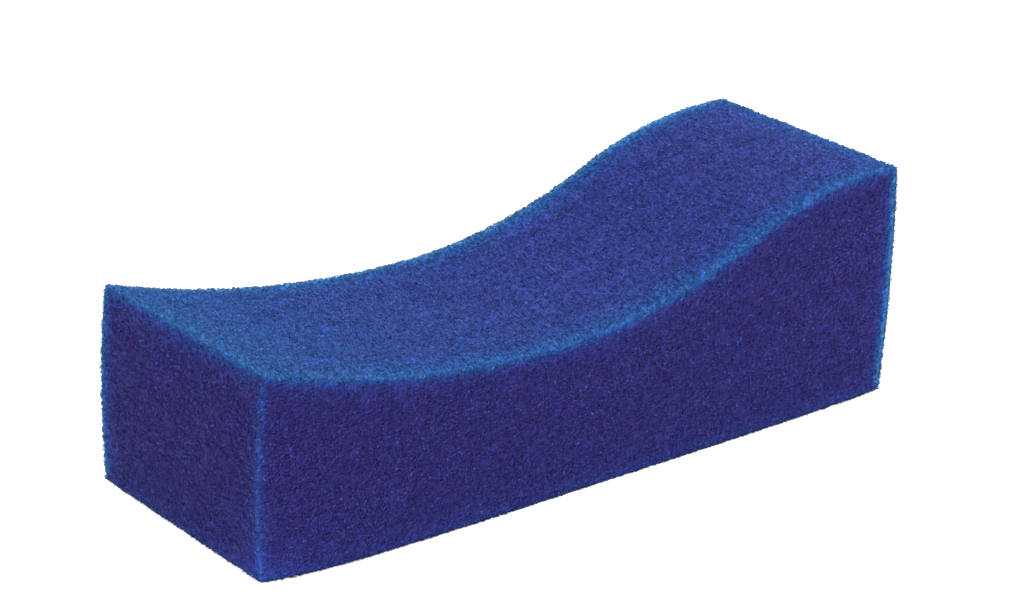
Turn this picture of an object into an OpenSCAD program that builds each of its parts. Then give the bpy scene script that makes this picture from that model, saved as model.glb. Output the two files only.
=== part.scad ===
// Wave-cut filter foam block, in millimetres.
// A straight block of open-cell foam whose top was cut with a wave: a low end, a long
// shallow dish, and a rise to a rounded crown just short of the high end.
// The block stands on its flat underside. +Z is up, +X runs from the low end to the high
// end, +Y runs across the width, and the origin is the middle of the underside's box.

/* [Block] */
// Length of the block, from the low end to the high end
block_length = 350; // [300:1:420]
// Width of the block, across the wave
block_width = 118.5; // [60:0.5:250]

/* [Dish] */
// Height of the block at the lowest point of the dish
dish_height = 71; // [40:0.1:120]
// Distance from the low end to the lowest point of the dish
dish_place = 151.3; // [80:0.1:200]
// Radius of the dish's shallow side, towards the low end
shallow_radius = 475; // [300:5:900]
// Radius of the dish's steep side, towards the crown
steep_radius = 263.5; // [200:0.5:400]

/* [Crown] */
// Distance from the high end back to the highest point of the crown
crown_setback = 11.5; // [0:0.5:30]
// Radius of the rounded crown
crown_radius = 178.5; // [120:0.5:260]

/* [Hidden] */
$fn = 360;

// The steep side of the dish and the crown are arcs that meet tangentially. Their centres
// lie the sum of the two radii apart, and the line between them leans by rise_angle.
crown_place = block_length - crown_setback;
arc_span = steep_radius + crown_radius;
rise_angle = asin((crown_place - dish_place) / arc_span);
crown_height = dish_height + arc_span * (1 - cos(rise_angle));
join_place = dish_place + steep_radius * sin(rise_angle);

// Outline under one side of the dish, between two places along the block. The square
// reaches up to the arc's centre, so the circle takes away all that is above the arc.
module dish_outline(from, to, radius) {
    arc_centre = dish_height + radius;
    difference() {
        translate([from, 0])
            square([to - from, arc_centre]);
        translate([dish_place, arc_centre])
            circle(r = radius);
    }
}

// Outline under the crown, from the place where it joins the dish to the high end. The
// square is taller than the crown, so the circle alone gives the crown its shape.
module crown_outline() {
    intersection() {
        translate([join_place, 0])
            square([block_length - join_place, crown_height + crown_radius]);
        translate([crown_place, crown_height - crown_radius])
            circle(r = crown_radius);
    }
}

// The block's side view, drawn with the low end at the left and the underside at zero.
module side_outline() {
    union() {
        dish_outline(0, dish_place, shallow_radius);
        dish_outline(dish_place, join_place, steep_radius);
        crown_outline();
    }
}

// The foam block, cut straight through its width.
module filter_foam() {
    color("royalblue")
        translate([-block_length / 2, block_width / 2, 0])
            rotate([90, 0, 0])
                linear_extrude(height = block_width)
                    side_outline();
}

filter_foam();
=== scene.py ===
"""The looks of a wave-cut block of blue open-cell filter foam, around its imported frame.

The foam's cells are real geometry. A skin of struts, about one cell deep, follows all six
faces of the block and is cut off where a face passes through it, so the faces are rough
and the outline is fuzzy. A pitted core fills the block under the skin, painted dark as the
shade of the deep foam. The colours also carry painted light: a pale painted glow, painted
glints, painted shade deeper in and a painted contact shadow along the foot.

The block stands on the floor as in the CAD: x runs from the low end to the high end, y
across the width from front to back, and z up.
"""

import itertools
import math

import bpy
import numpy as np
from mathutils import Matrix, Vector


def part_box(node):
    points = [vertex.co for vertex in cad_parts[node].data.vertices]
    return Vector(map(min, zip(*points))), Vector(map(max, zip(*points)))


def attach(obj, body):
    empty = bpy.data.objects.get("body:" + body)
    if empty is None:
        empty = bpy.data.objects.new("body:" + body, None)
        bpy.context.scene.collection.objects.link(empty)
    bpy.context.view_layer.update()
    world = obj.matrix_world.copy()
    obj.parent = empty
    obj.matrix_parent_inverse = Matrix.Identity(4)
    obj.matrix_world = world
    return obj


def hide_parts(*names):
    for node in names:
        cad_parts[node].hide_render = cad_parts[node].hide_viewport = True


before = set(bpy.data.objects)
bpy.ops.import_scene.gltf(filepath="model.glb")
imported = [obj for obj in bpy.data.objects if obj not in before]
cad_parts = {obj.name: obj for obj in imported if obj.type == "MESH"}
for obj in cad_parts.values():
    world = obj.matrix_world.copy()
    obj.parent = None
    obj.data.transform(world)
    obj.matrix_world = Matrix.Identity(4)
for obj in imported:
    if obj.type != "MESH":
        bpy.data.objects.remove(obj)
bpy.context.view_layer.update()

MM = 0.001
NODE = "filter_foam"
SEED = 7

# The top's slope is taken over this distance to either side of a place.
SLOPE_STEP = 2 * MM

# The share of a piece's flat map that is left free along each side.
MAP_MARGIN = 0.01

# The skin's lattice, in metres. Two cells fill one cube of the cell pattern. The skin is a
# layer SKIN deep whose outside stands PROUD of every face but the underside.
CUBE = 2.1 * MM
SKIN = 1.15 * MM
PROUD = 0.9 * MM
JOINT_RADIUS = 0.25 * MM
PATTERN_TURN = (0.41, 0.63, 0.27)

# How uneven the lattice is: a wide bend, a close one, and a jitter for each joint. Cubes
# within CUBE_MARGIN of the skin are grown, since the bends may bring their joints into it.
BEND = 0.45 * CUBE
BEND_WAVE = 9 * CUBE
SMALL_BEND = 0.16 * CUBE
SMALL_BEND_WAVE = 2.7 * CUBE
JOINT_JITTER = 0.17 * CUBE
CUBE_MARGIN = 2.4 * CUBE

# The cubes are numbered in a grid that reaches this many cubes past the block.
GRID_MARGIN = 2

# A strut that a face cuts through ends at a random share of the way from its joint to the
# face, and is never shorter than a share of its whole length.
CUT_SPREAD = (0.75, 1.0)
SHORTEST_CUT = 0.02

# The core under the skin, in voxels CORE_GRAIN wide. Its pits are CORE_PITS deep, and the
# share CORE_LEVEL of that lies inside the block's faces.
CORE_GRAIN = 1.4 * MM
EDGE_REACH = 0.7 * CORE_GRAIN
CORE_PITS = 1.3 * MM
CORE_LEVEL = 0.25
PIT_SPACING = 0.9 * CUBE
CORE_SOLE = 0.2 * MM

# How light the struts are, where 1 is their full colour. The spreads are how much the
# joints differ at random in shade and in hue, and the painted glow calms the shades. The cut
# tips are lighter by up to the share TIP_SHADE, within TIP_DEPTH of the outside: painted
# shade that darkens the struts deeper in.
STRUT_SHADE = 0.69
SHADE_SPREAD = 0.30
HUE_SPREAD = 0.13
GLOW_CALM = 0.7
TIP_SHADE = 0.7
TIP_DEPTH = 0.5 * MM

# How light the core is, painted darker than the struts as the shade of the deep foam. It
# also goes in cells: PIT_SHADE in a cell's middle, and RIDGE_SHADE at RIDGE_PLACE cell widths
# away. These cells are as wide as the pits but don't line up with them. The full painted glow
# makes the core lighter by the share CORE_GLOW_SHADE.
PIT_SHADE = 0.2
RIDGE_SHADE = 0.75
RIDGE_PLACE = 0.8
CORE_GLOW_SHADE = 0.9

# A painted contact shadow, a dark line along the foot of the block: how much light it loses,
# and how high it is.
FOOT_SHADE = 0.85
FOOT_REACH = 1.0 * MM

# The painted glints, pale specks on a few joints. They start on joints whose random number
# is GLINT_FROM standard deviations up, and are full at GLINT_FULL.
GLINT_FROM = 1.6
GLINT_FULL = 2.6
GLINT_STRENGTH = 0.8
GLINT_BASE = 0.2

# How the soft block lies: its lower edges curl up at both ends, its foot leans towards
# the low end, and both ends bulge.
LOW_CURL = 5.2 * MM
HIGH_CURL = 1.5 * MM
CURL_REACH = 30 * MM
LEAN = 1.7 * MM
BULGE = 2.2 * MM

# The pale painted glow, light painted into the colour where it falls on and through the foam
# along its edges, on its top and at its ends: how strong it is in each place, where 1 is
# azure, and the distance over which it fades. The whole is capped at MOST_GLOW. CORNER_LIGHT
# is a share of brightness, painted light at the low end's front foot corner.
TOP_RIM_GLOW = 0.75
TOP_RIM_REACH = 8.0 * MM
SIDE_RIM_REACH = 3.2 * MM
LOW_RIM_REACH = 5.0 * MM
UPRIGHT_RIM_GLOW = 0.50
UPRIGHT_RIM_REACH = 2.6 * MM
HIGH_RIM_GLOW = 2.2
HIGH_RIM_REACH = 2.6 * MM
BACK_RIM_GLOW = 0.9
BACK_RIM_REACH = 4.6 * MM
BACK_TOP_GLOW = 0.8
BACK_TOP_REACH = 3.0 * MM
FLOOR_RIM_GLOW = 0.40
FLOOR_RIM_REACH = 6.0 * MM
CORNER_GLOW = 0.35
CORNER_LIGHT = 0.45
CORNER_REACH = 18 * MM
SIDE_GLOW = 0.05
SIDE_REACH = 80 * MM
TOP_GLOW = 0.24
LOW_END_GLOW = 0.50
LOW_END_REACH = 130 * MM
HIGH_END_GLOW = 0.15
HIGH_END_REACH = 22 * MM

# Light: the strengths of the white surroundings and of the floor's own glow, and the
# lamp's power in watts, with its place and size in metres.
SURROUNDINGS = 1.2
FLOOR_GLOW = 1.0
FLOOR_HALF = 6.0
LAMP_POWER = 41
LAMP_PLACE = (0.75, 0.10, 1.45)
LAMP_SIZE = 1.2

# The view of the block, in degrees and metres.
VIEW_AZIMUTH = -39.02
VIEW_ELEVATION = 22.23
VIEW_ROLL = 1.55
VIEW_DISTANCE = 1.3720
VIEW_TARGET_HEIGHT = 0.0675
VIEW_TARGET_SETBACK = 0.0019
LENS_MM = 108.56
SENSOR_MM = 36.0
VIEW_FAR = 50
PIXEL_BLUR = 2.0

# The foam's colours, by strength of the painted glow from none to the most.
FOAM_COLOURS = {
    0.0: (0.023, 0.015, 0.140, 1),
    0.35: (0.021, 0.033, 0.214, 1),
    0.6: (0.013, 0.058, 0.253, 1),
    1.0: (0.009, 0.101, 0.293, 1),
    1.25: (0.050, 0.140, 0.303, 1),
}
MOST_GLOW = max(FOAM_COLOURS)
# The colour of the painted glints.
GLINT_COLOUR = (0.12, 0.30, 0.75, 1)

# The block's faces, and how many pieces each one's skin is in. Faces before the underside
# are upright.
FACES = ("low_end", "high_end", "front", "back", "underside", "top")
LOW_END, HIGH_END, FRONT, BACK, UNDERSIDE, TOP = range(len(FACES))
PARTS = {"low_end": 2, "high_end": 2, "front": 4, "back": 4, "underside": 5, "top": 5}


# ---------------------------------------------------------------- the block's shape
def wave_line():
    """The top's side view, as places along the block and heights, from the CAD mesh. Places
    less than a micrometre apart are taken as one."""
    low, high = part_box(NODE)
    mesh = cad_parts[NODE].data
    points = np.array([v.co for v in mesh.vertices], float)
    ends = np.isclose(points[:, 0], low.x) | np.isclose(points[:, 0], high.x)
    top = points[(points[:, 2] > low.z + MM) & ~ends]
    for x in (low.x, high.x):
        at_end = points[np.isclose(points[:, 0], x)]
        top = np.vstack([top, at_end[at_end[:, 2].argmax()]])
    places, first = np.unique(np.round(top[:, 0], 6), return_index=True)
    return places, top[first, 2]


WAVE_X, WAVE_Z = wave_line()


def top_height(x):
    """The height of the wave at each place along the block."""
    return np.interp(x, WAVE_X, WAVE_Z)


def face_distances(points):
    """How far each point lies inside each of the six faces, in the order of FACES."""
    low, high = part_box(NODE)
    x, y, z = points.T
    slope = (top_height(x + SLOPE_STEP) - top_height(x - SLOPE_STEP)) / (2 * SLOPE_STEP)
    top = (top_height(x) - z) / np.sqrt(1 + slope**2)
    return np.stack([x - low.x, high.x - x, y - low.y, high.y - y, z - low.z, top], axis=1)


# ---------------------------------------------------------------- the foam's pattern
class Pattern:
    """One cube of the Kelvin foam: its 12 joints, and the four struts that leave each one.
    The joints lie at every order of the places (0, 1/4, 1/2) and (0, 3/4, 1/2)."""

    def __init__(self):
        kinds = ((0, 0.25, 0.5), (0, 0.75, 0.5))
        self.joints = np.array(sorted({p for k in kinds for p in itertools.permutations(k)}))
        count = len(self.joints)
        self.partner = np.zeros((count, 4), int)
        self.partner_cube = np.zeros((count, 4, 3), int)
        self.direction = np.zeros((count, 4, 3))
        cubes = np.array(list(itertools.product((-1, 0, 1), repeat=3)))
        reach = math.sqrt(2) / 4
        for i, joint in enumerate(self.joints):
            away = self.joints[None] + cubes[:, None] - joint
            near = np.argwhere(np.isclose(np.linalg.norm(away, axis=2), reach))
            for slot, (c, j) in enumerate(near):
                self.partner[i, slot] = j
                self.partner_cube[i, slot] = cubes[c]
                self.direction[i, slot] = away[c, j] / reach
        self.corners = np.array([[self.facing(i, s) for s in range(4)] for i in range(count)])

    def facing(self, i, slot):
        """The three corners of joint i that face along a strut, anticlockwise seen from
        its far end. Corner k of a joint points away from the joint's strut k."""
        corners = [k for k in range(4) if k != slot]
        a, b, c = -self.direction[i, corners]
        if np.dot(np.cross(b - a, c - a), self.direction[i, slot]) < 0:
            corners = corners[::-1]
        return corners

    def back_slot(self, i, slot):
        """Which strut of the partner is the one that comes from joint i."""
        j = self.partner[i, slot]
        back = np.isclose(self.direction[j], -self.direction[i, slot]).all(axis=1)
        return int(np.flatnonzero(back & (self.partner[j] == i))[0])

    def far_corners(self, i, slot):
        """The partner's corners that continue facing(i, slot) with the least twist."""
        j, back = self.partner[i, slot], self.back_slot(i, slot)
        near = -self.direction[i, self.corners[i, slot]]
        reverse = list(self.corners[j, back][::-1])
        turned = [reverse[t:] + reverse[:t] for t in range(3)]
        return min(turned, key=lambda t: np.sum((near + self.direction[j, t]) ** 2))


def smooth_noise(points, wavelength, rng, waves=10):
    """A gentle shift in three directions that varies over about one wavelength."""
    shift = np.zeros_like(points)
    for _ in range(waves):
        run = rng.normal(size=3)
        run *= 2 * math.pi / (wavelength * np.linalg.norm(run))
        shift += np.outer(np.sin(points @ run + rng.uniform(0, 2 * math.pi)), rng.normal(size=3))
    return shift / math.sqrt(waves)


def pattern_matrix():
    """Turns the pattern so that no face of the block lies along its layers."""
    a, b, c = PATTERN_TURN
    turn = Matrix.Rotation(a, 3, "X") @ Matrix.Rotation(b, 3, "Y") @ Matrix.Rotation(c, 3, "Z")
    return np.array(turn)


def skin_cubes(turn):
    """The cubes of the pattern that may hold a joint of the skin, and the numbering grid."""
    low, high = (np.array(c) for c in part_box(NODE))
    corners = np.array(list(itertools.product(*zip(low, high)))) @ turn / CUBE
    first = np.floor(corners.min(0)).astype(int) - GRID_MARGIN
    size = np.ceil(corners.max(0)).astype(int) + GRID_MARGIN - first
    cubes = np.stack(np.meshgrid(*[np.arange(n) for n in size], indexing="ij"), -1)
    cubes = cubes.reshape(-1, 3)
    depth = face_distances((cubes + first + 0.5) * CUBE @ turn.T).min(axis=1)
    near_skin = (depth > -CUBE_MARGIN) & (depth < SKIN + CUBE_MARGIN)
    return cubes[near_skin], first, size


def grow_foam():
    """The pattern and how it is turned, and every joint in or near the skin: its place, kind,
    partners and distances inside the six faces. The underside lies flat, so it isn't proud."""
    rng = np.random.default_rng(SEED)
    pattern, turn = Pattern(), pattern_matrix()
    cubes, first, size = skin_cubes(turn)
    number = np.full(size, -1)
    number[tuple(cubes.T)] = np.arange(len(cubes))
    kinds = len(pattern.joints)
    kind = np.tile(np.arange(kinds), len(cubes))
    ideal = ((cubes + first)[:, None] + pattern.joints[None]).reshape(-1, 3) * CUBE @ turn.T
    place = ideal + BEND * smooth_noise(ideal, BEND_WAVE, rng)
    place += SMALL_BEND * smooth_noise(ideal, SMALL_BEND_WAVE, rng)
    place += rng.uniform(-JOINT_JITTER, JOINT_JITTER, place.shape)
    cube_of = np.repeat(cubes, kinds, axis=0)
    beyond = cube_of[:, None] + pattern.partner_cube[kind]
    inside = ((beyond >= 0) & (beyond < size)).all(axis=2)
    beyond = np.where(inside[..., None], beyond, 0)
    partner = number[tuple(np.moveaxis(beyond, -1, 0))]
    partner = np.where(inside & (partner >= 0), partner * kinds + pattern.partner[kind], -1)
    distances = face_distances(place) + PROUD * (np.array(FACES) != "underside")
    return pattern, turn, place, kind, partner, distances


def numbered(chosen):
    """A new number for each chosen joint, and -1 for the others."""
    return np.where(chosen, np.cumsum(chosen) - 1, -1)


def cut_places(place, depth, a, b, rng):
    """Where each strut that a face cuts through ends, on its way from joint a to joint b."""
    run = depth[a] / (depth[a] - depth[b]) * rng.uniform(*CUT_SPREAD, len(a))
    run = np.clip(run, SHORTEST_CUT, 1)[:, None]
    return place[a] + run * (place[b] - place[a])


def skin_mesh(foam, mine, kept, rng):
    """Corners, faces of four, faces of three and a random number for each corner, for one
    piece of the skin, which is closed. mine are the piece's own joints, and kept are those
    of the whole skin."""
    pattern, turn, place, kind, partner, distances = foam
    depth = distances.min(axis=1)
    corner_way = -(pattern.direction @ turn.T) * JOINT_RADIUS
    number = numbered(mine)
    own = np.flatnonzero(mine)
    points = [(place[own, None] + corner_way[kind[own]]).reshape(-1, 3)]
    chance = [np.repeat(rng.normal(size=len(own)), 4)]
    quads, triangles = [], []
    made = 4 * len(own)
    for i, slot in itertools.product(range(len(pattern.joints)), range(4)):
        here = own[kind[own] == i]
        there = partner[here, slot]
        near = 4 * number[here][:, None] + pattern.corners[i, slot]
        through = mine[there]
        outside = ~kept[there] & (depth[there] < 0)
        shared = kept[there] & ~mine[there] & (here < there)
        triangles.append(near[~(through | outside | shared)])
        far = pattern.far_corners(i, slot)
        joined = through & (here < there)
        ends = 4 * number[there[joined]][:, None] + np.array(far)
        quads.append(sides(near[joined], ends))
        for chosen, tip in ((outside, "cut"), (shared, "joint")):
            a, b = here[chosen], there[chosen]
            if tip == "cut":
                middle = cut_places(place, depth, a, b, rng)
                end = middle[:, None] + corner_way[i, pattern.corners[i, slot]]
            else:
                end = place[b][:, None] + corner_way[pattern.partner[i, slot], far]
            ends = made + np.arange(3 * len(a)).reshape(-1, 3)
            made += 3 * len(a)
            points.append(end.reshape(-1, 3))
            chance.append(np.repeat(rng.normal(size=len(a)), 3))
            quads.append(sides(near[chosen], ends))
            triangles.append(ends)
    return np.vstack(points), np.vstack(quads), np.vstack(triangles), np.concatenate(chance)


def sides(near, far):
    """The three long faces of each strut, from its near corners to its far ones."""
    ring = ((0, 1), (1, 2), (2, 0))
    return np.vstack([np.stack([near[:, a], near[:, b], far[:, b], far[:, a]], 1) for a, b in ring])


def new_mesh(name, points, quads, triangles):
    """A smooth mesh from arrays, which is far quicker than from lists."""
    mesh = bpy.data.meshes.new(name)
    mesh.vertices.add(len(points))
    mesh.vertices.foreach_set("co", points.astype(np.float32).ravel())
    loops = np.concatenate([quads.ravel(), triangles.ravel()]).astype(np.int32)
    sizes = np.repeat([4, 3], [len(quads), len(triangles)])
    mesh.loops.add(len(loops))
    mesh.loops.foreach_set("vertex_index", loops)
    mesh.polygons.add(len(sizes))
    mesh.polygons.foreach_set("loop_start", (np.cumsum(sizes) - sizes).astype(np.int32))
    mesh.polygons.foreach_set("loop_total", sizes.astype(np.int32))
    mesh.polygons.foreach_set("use_smooth", np.ones(len(sizes), bool))
    mesh.update(calc_edges=True)
    piece = bpy.data.objects.new(name, mesh)
    bpy.context.scene.collection.objects.link(piece)
    return piece


def points_of(piece):
    """The places of a piece's points, as rows of an array."""
    points = np.zeros(3 * len(piece.data.vertices), np.float32)
    piece.data.vertices.foreach_get("co", points)
    return points.reshape(-1, 3)


def move_points(piece, points):
    """Puts a piece's points in new places, given as rows of an array."""
    piece.data.vertices.foreach_set("co", points.astype(np.float32).ravel())
    piece.data.update()


def settle(piece):
    """Gives a piece the shape of a soft block that lies on the floor."""
    low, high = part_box(NODE)
    x, y, z = points_of(piece).T
    down = np.clip(1 - z / top_height(x), 0, 1)
    curl = LOW_CURL * np.exp(-np.clip(x - low.x, 0, None) / CURL_REACH)
    curl += HIGH_CURL * np.exp(-np.clip(high.x - x, 0, None) / CURL_REACH)
    halfway = 4 * down * (1 - down)
    sway = BULGE * halfway * x / high.x - LEAN * down
    move_points(piece, np.stack([x + sway, y, z + curl * down], axis=1))


def add_value(piece, name, values):
    """Stores a number for each of a piece's points, for its material to read."""
    layer = piece.data.attributes.new(name, "FLOAT", "POINT")
    layer.data.foreach_set("value", values.astype(np.float32))


def flat_map(piece, face):
    """A plain map of the piece as seen square on to its face, which fills the map."""
    across, up = {"low_end": (1, 2), "high_end": (1, 2), "front": (0, 2), "back": (0, 2)}.get(
        face, (0, 1)
    )
    flat = points_of(piece)[:, (across, up)]
    share = (flat - flat.min(0)) / (flat.max(0) - flat.min(0))
    flat = MAP_MARGIN + (1 - 2 * MAP_MARGIN) * share
    loops = np.zeros(len(piece.data.loops), np.int32)
    piece.data.loops.foreach_get("vertex_index", loops)
    layer = piece.data.uv_layers.new(name="OFBake")
    layer.data.foreach_set("uv", flat[loops].astype(np.float32).ravel())


def pick_fade(kinds, edge, otherwise):
    """The painted glow at each point from the first of the kinds of edge that it belongs to. A
    kind is its points, the full glow and the distance over which that fades."""
    fades = [full * np.exp(-edge / reach) for _, full, reach in kinds]
    return np.select([kind for kind, _, _ in kinds], fades, otherwise)


def rim_of(face, beside, edge):
    """The painted glow along the cut edges. face is each point's own face, beside is the one
    across its nearest edge, and edge is how far off that edge is."""
    upright = (face < UNDERSIDE) & (beside < UNDERSIDE)
    kinds = (
        (face == TOP, TOP_RIM_GLOW, TOP_RIM_REACH),
        ((beside == TOP) & (face == LOW_END), TOP_RIM_GLOW, LOW_RIM_REACH),
        (beside == TOP, TOP_RIM_GLOW, SIDE_RIM_REACH),
        (upright, UPRIGHT_RIM_GLOW, UPRIGHT_RIM_REACH),
    )
    return pick_fade(kinds, edge, FLOOR_RIM_GLOW * np.exp(-edge / FLOOR_RIM_REACH))


def far_rim_of(face, beside, edge):
    """The extra painted glow that the long faces have beside the high end, and that the top and
    the two ends have beside the back."""
    on_side = (face < UNDERSIDE) & (beside < UNDERSIDE)
    kinds = (
        (on_side & (beside == HIGH_END), HIGH_RIM_GLOW, HIGH_RIM_REACH),
        (on_side & (beside == BACK), BACK_RIM_GLOW, BACK_RIM_REACH),
        ((face == TOP) & (beside == BACK), BACK_TOP_GLOW, BACK_TOP_REACH),
    )
    return pick_fade(kinds, edge, 0)


def painted_glow_of(points):
    """How pale each point is with painted glow, from 0 to MOST_GLOW. The painted glow follows
    the cut edges, fades in on top from the two ends, and gathers at the low end's front foot
    corner."""
    distances = np.clip(face_distances(points), 0, None)
    order = np.argsort(distances, axis=1)
    near_edge = order[:, 0], order[:, 1], np.sort(distances, axis=1)[:, 1]
    ends = LOW_END_GLOW * np.exp(-distances[:, LOW_END] / LOW_END_REACH)
    ends += HIGH_END_GLOW * np.exp(-distances[:, HIGH_END] / HIGH_END_REACH)
    from_corner = distances[:, LOW_END] + distances[:, FRONT]
    side = SIDE_GLOW * (1 - np.exp(-from_corner / SIDE_REACH))
    face = np.where(near_edge[0] == TOP, TOP_GLOW + ends, side)
    corner = CORNER_GLOW * corner_share(points)
    painted_glow = 1 - (1 - face) * (1 - rim_of(*near_edge)) * (1 - corner)
    return np.minimum(painted_glow + far_rim_of(*near_edge), MOST_GLOW)


def corner_share(points):
    """From 0 to 1, how near each point is to the low end's front foot corner."""
    distances = np.clip(face_distances(points), 0, None)
    return np.exp(-distances[:, (LOW_END, FRONT, UNDERSIDE)].sum(axis=1) / CORNER_REACH)


def painted_shadow_and_light(points):
    """How light the foam is at each point: a painted contact shadow along the foot of the block,
    where it meets the floor, and painted light at the low end's front foot corner."""
    foot = 1 - FOOT_SHADE * np.exp(-((points[:, 2] / FOOT_REACH) ** 2))
    return foot * (1 + CORNER_LIGHT * corner_share(points))


def shade_of(points, painted_glow, chance):
    """How light each point of a strut is, in a tone that differs at random from joint to joint.
    Painted shade darkens the struts deeper in, so the cut tips are the lightest, and the foam is
    most even where the painted glow is."""
    depth = face_distances(points).min(axis=1) + PROUD
    tip = np.clip(1 - depth / TIP_DEPTH, 0, 1)
    uneven = np.clip(1 - GLOW_CALM * painted_glow, 0, 1)
    return STRUT_SHADE * np.exp(SHADE_SPREAD * uneven * chance) * (1 + TIP_SHADE * uneven * tip)


def painted_glint_of(painted_glow, chance):
    """How strong a painted glint each point has, which is nothing for all but a few joints."""
    rare = (chance - GLINT_FROM) / (GLINT_FULL - GLINT_FROM)
    return GLINT_STRENGTH * np.clip(rare, 0, 1) * (GLINT_BASE + painted_glow)


def build_skin(material):
    """The pieces of the skin, each with its painted glow, shade and painted glints."""
    rng = np.random.default_rng(SEED + 1)
    foam = grow_foam()
    _, _, place, _, _, distances = foam
    depth = distances.min(axis=1)
    kept = (depth > 0) & (depth < SKIN)
    nearest = distances.argmin(axis=1)
    low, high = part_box(NODE)
    share = (place - np.array(low)) / (np.array(high) - np.array(low))
    pieces = []
    for index, face in enumerate(FACES):
        along = share[:, 1] if "end" in face else share[:, 0]
        part_of = np.clip(along * PARTS[face], 0, PARTS[face] - 1).astype(int)
        for part in range(PARTS[face]):
            mine = kept & (nearest == index) & (part_of == part)
            points, quads, triangles, chance = skin_mesh(foam, mine, kept, rng)
            name = f"foam_{face}_{part + 1}"
            piece = new_mesh(name, points, quads, triangles)
            # The skin's colours carry painted light: the painted glow, painted shade deeper in with
            # the painted contact shadow and corner light, and painted glints.
            painted_glow = painted_glow_of(points)
            add_value(piece, "painted_glow", (painted_glow + HUE_SPREAD * chance) / MOST_GLOW)
            add_value(piece, "shade", shade_of(points, painted_glow, chance) * painted_shadow_and_light(points))
            add_value(piece, "painted_glint", painted_glint_of(painted_glow, chance))
            flat_map(piece, face)
            piece.data.materials.append(material)
            pieces.append(piece)
    return pieces


# ---------------------------------------------------------------- the core
def sharp_edges(points):
    """Moves the points close to a face on to it, since remeshing rounds the edges off."""
    low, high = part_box(NODE)
    for axis in range(3):
        points[points[:, axis] < low[axis] + EDGE_REACH, axis] = low[axis]
    for axis in range(2):
        points[points[:, axis] > high[axis] - EDGE_REACH, axis] = high[axis]
    top = top_height(points[:, 0])
    points[:, 2] = np.where(points[:, 2] > top - EDGE_REACH, top, points[:, 2])
    return points


def build_core(material):
    """The deep foam under the skin: the block itself, pitted all over, with a level sole just
    above the floor."""
    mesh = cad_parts[NODE].data.copy()
    mesh.materials.clear()
    core = bpy.data.objects.new("foam_core", mesh)
    bpy.context.scene.collection.objects.link(core)
    bpy.context.view_layer.objects.active = core
    grain = core.modifiers.new("grain", "REMESH")
    grain.mode = "VOXEL"
    grain.voxel_size = CORE_GRAIN
    bpy.ops.object.modifier_apply(modifier=grain.name)
    move_points(core, sharp_edges(points_of(core)))
    cells = bpy.data.textures.new("cells", "VORONOI")
    cells.noise_scale = PIT_SPACING
    pits = core.modifiers.new("pits", "DISPLACE")
    pits.texture = cells
    pits.strength = CORE_PITS
    pits.mid_level = CORE_LEVEL
    bpy.ops.object.modifier_apply(modifier=pits.name)
    points = points_of(core)
    points[points[:, 2] < CORE_GRAIN, 2] = CORE_SOLE
    move_points(core, points)
    # The core's colours carry the painted glow, the painted contact shadow along the foot and the
    # painted light at the low end's front foot corner.
    painted_glow = painted_glow_of(points)
    add_value(core, "painted_glow", painted_glow / MOST_GLOW)
    add_value(core, "shade", (1 + CORE_GLOW_SHADE * painted_glow) * painted_shadow_and_light(points))
    core.data.materials.append(material)
    return core


# ---------------------------------------------------------------- materials
def new_material(name, roughness, shine):
    """A plain material, with its nodes, its links and its shader."""
    material = bpy.data.materials.new(name)
    material.use_nodes = True
    shader = material.node_tree.nodes["Principled BSDF"]
    shader.inputs["Roughness"].default_value = roughness
    shader.inputs["Specular IOR Level"].default_value = shine
    return material, material.node_tree.nodes, material.node_tree.links, shader


def point_value(nodes, name):
    """The shader value of one of the layers that add_value gave the pieces' points."""
    value = nodes.new("ShaderNodeAttribute")
    value.attribute_name = name
    return value.outputs["Fac"]


def foam_colour(nodes, links, shade):
    """Blue polyurethane: indigo, then azure where the painted glow is, times a shade."""
    ramp = nodes.new("ShaderNodeValToRGB")
    while len(ramp.color_ramp.elements) < len(FOAM_COLOURS):
        ramp.color_ramp.elements.new(0.5)
    for stop, (place, colour) in zip(ramp.color_ramp.elements, FOAM_COLOURS.items()):
        stop.position = place / MOST_GLOW
        stop.color = colour
    links.new(point_value(nodes, "painted_glow"), ramp.inputs["Fac"])
    tint = nodes.new("ShaderNodeVectorMath")
    tint.operation = "SCALE"
    links.new(ramp.outputs["Color"], tint.inputs[0])
    links.new(shade, tint.inputs["Scale"])
    return tint.outputs["Vector"]


def strut_material():
    """The foam with a shade of its own at each joint, and a few joints with painted glints, pale
    specks that stand in for light caught on the struts."""
    material, nodes, links, shader = new_material("foam_strut", roughness=0.45, shine=0.15)
    # The painted glints mix the foam towards a pale colour.
    glinted = nodes.new("ShaderNodeMix")
    glinted.data_type = "RGBA"
    glinted.inputs["B"].default_value = GLINT_COLOUR
    links.new(point_value(nodes, "painted_glint"), glinted.inputs["Factor"])
    links.new(foam_colour(nodes, links, point_value(nodes, "shade")), glinted.inputs["A"])
    links.new(glinted.outputs["Result"], shader.inputs["Base Color"])
    return material


def core_material():
    """The same foam, painted darker as the shade of the deep foam, and darkest in the middle of
    each cell.
    """
    material, nodes, links, shader = new_material("foam_deep", roughness=0.8, shine=0.1)
    cells = nodes.new("ShaderNodeTexVoronoi")
    cells.inputs["Scale"].default_value = 1 / PIT_SPACING
    place = nodes.new("ShaderNodeNewGeometry")
    links.new(place.outputs["Position"], cells.inputs["Vector"])
    pits = nodes.new("ShaderNodeMapRange")
    pits.inputs["From Max"].default_value = RIDGE_PLACE
    pits.inputs["To Min"].default_value = PIT_SHADE
    pits.inputs["To Max"].default_value = RIDGE_SHADE
    links.new(cells.outputs["Distance"], pits.inputs["Value"])
    shade = nodes.new("ShaderNodeMath")
    shade.operation = "MULTIPLY"
    links.new(pits.outputs["Result"], shade.inputs[0])
    links.new(point_value(nodes, "shade"), shade.inputs[1])
    colour = foam_colour(nodes, links, shade.outputs["Value"])
    links.new(colour, shader.inputs["Base Color"])
    return material


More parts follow.
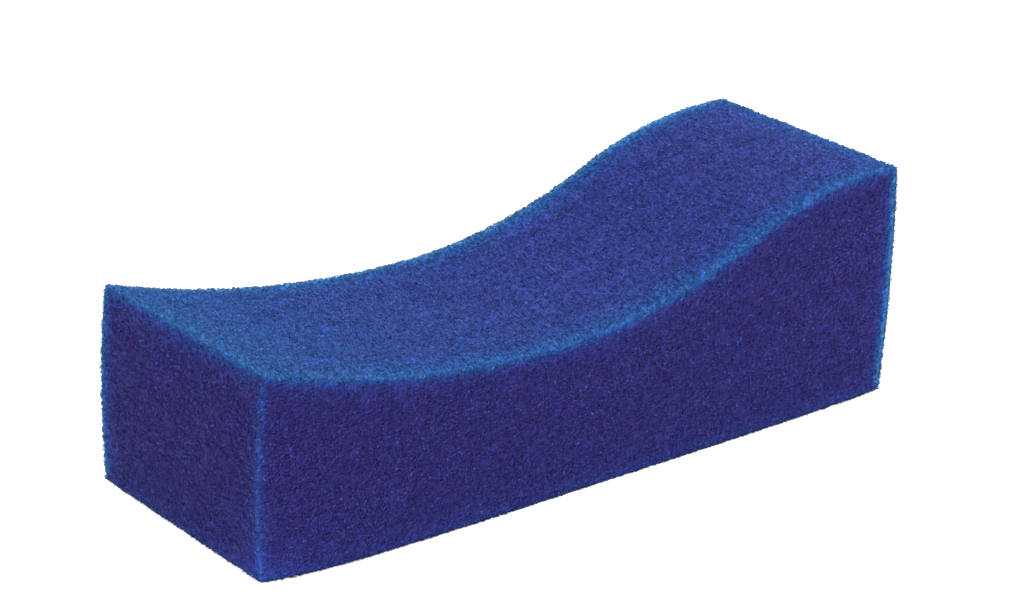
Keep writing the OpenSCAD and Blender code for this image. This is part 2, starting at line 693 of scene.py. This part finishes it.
# ---------------------------------------------------------------- the studio
def build_floor():
    """A white floor with a glow of its own, so that it fades into the surroundings."""
    mesh = bpy.data.meshes.new("floor")
    corners = [(-1, -1, 0), (1, -1, 0), (1, 1, 0), (-1, 1, 0)]
    mesh.from_pydata([Vector(c) * FLOOR_HALF for c in corners], [], [(0, 1, 2, 3)])
    floor = bpy.data.objects.new("floor", mesh)
    bpy.context.scene.collection.objects.link(floor)
    material, _, _, shader = new_material("floor", roughness=0.9, shine=0)
    shader.inputs["Base Color"].default_value = (0.9, 0.9, 0.9, 1)
    shader.inputs["Emission Color"].default_value = (1, 1, 1, 1)
    shader.inputs["Emission Strength"].default_value = FLOOR_GLOW
    mesh.materials.append(material)


def build_lamp():
    """A square lamp high up beyond the high end, which faces the block."""
    lamp = bpy.data.lights.new("overhead", "AREA")
    lamp.size = LAMP_SIZE
    lamp.energy = LAMP_POWER
    light = bpy.data.objects.new("overhead", lamp)
    light.location = LAMP_PLACE
    light.rotation_mode = "QUATERNION"
    light.rotation_quaternion = (-Vector(LAMP_PLACE)).to_track_quat("-Z", "Y")
    bpy.context.scene.collection.objects.link(light)


def build_surroundings():
    world = bpy.data.worlds.new("studio")
    world.use_nodes = True
    background = world.node_tree.nodes["Background"]
    background.inputs["Color"].default_value = (1, 1, 1, 1)
    background.inputs["Strength"].default_value = SURROUNDINGS
    bpy.context.scene.world = world


def build_camera():
    """The photo's view of the block."""
    azimuth, elevation, roll = map(math.radians, (VIEW_AZIMUTH, VIEW_ELEVATION, VIEW_ROLL))
    level = math.cos(elevation)
    back = Vector((math.sin(azimuth) * level, -math.cos(azimuth) * level, math.sin(elevation)))
    data = bpy.data.cameras.new("camera")
    data.lens = LENS_MM
    data.sensor_width = SENSOR_MM
    data.clip_end = VIEW_FAR
    camera = bpy.data.objects.new("camera", data)
    target = Vector((-VIEW_TARGET_SETBACK, 0, VIEW_TARGET_HEIGHT))
    upright = (-back).to_track_quat("-Z", "Y").to_matrix()
    camera.rotation_mode = "QUATERNION"
    camera.rotation_quaternion = (upright @ Matrix.Rotation(roll, 3, "Z")).to_quaternion()
    camera.location = target + back * VIEW_DISTANCE
    bpy.context.scene.collection.objects.link(camera)
    bpy.context.scene.camera = camera


bpy.context.scene.view_settings.view_transform = "Standard"
bpy.context.scene.cycles.filter_width = PIXEL_BLUR
build_camera()
build_surroundings()
build_lamp()
build_floor()
core = build_core(core_material())
pieces = build_skin(strut_material())
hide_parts(NODE)
for piece in [core, *pieces]:
    settle(piece)
    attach(piece, "root")
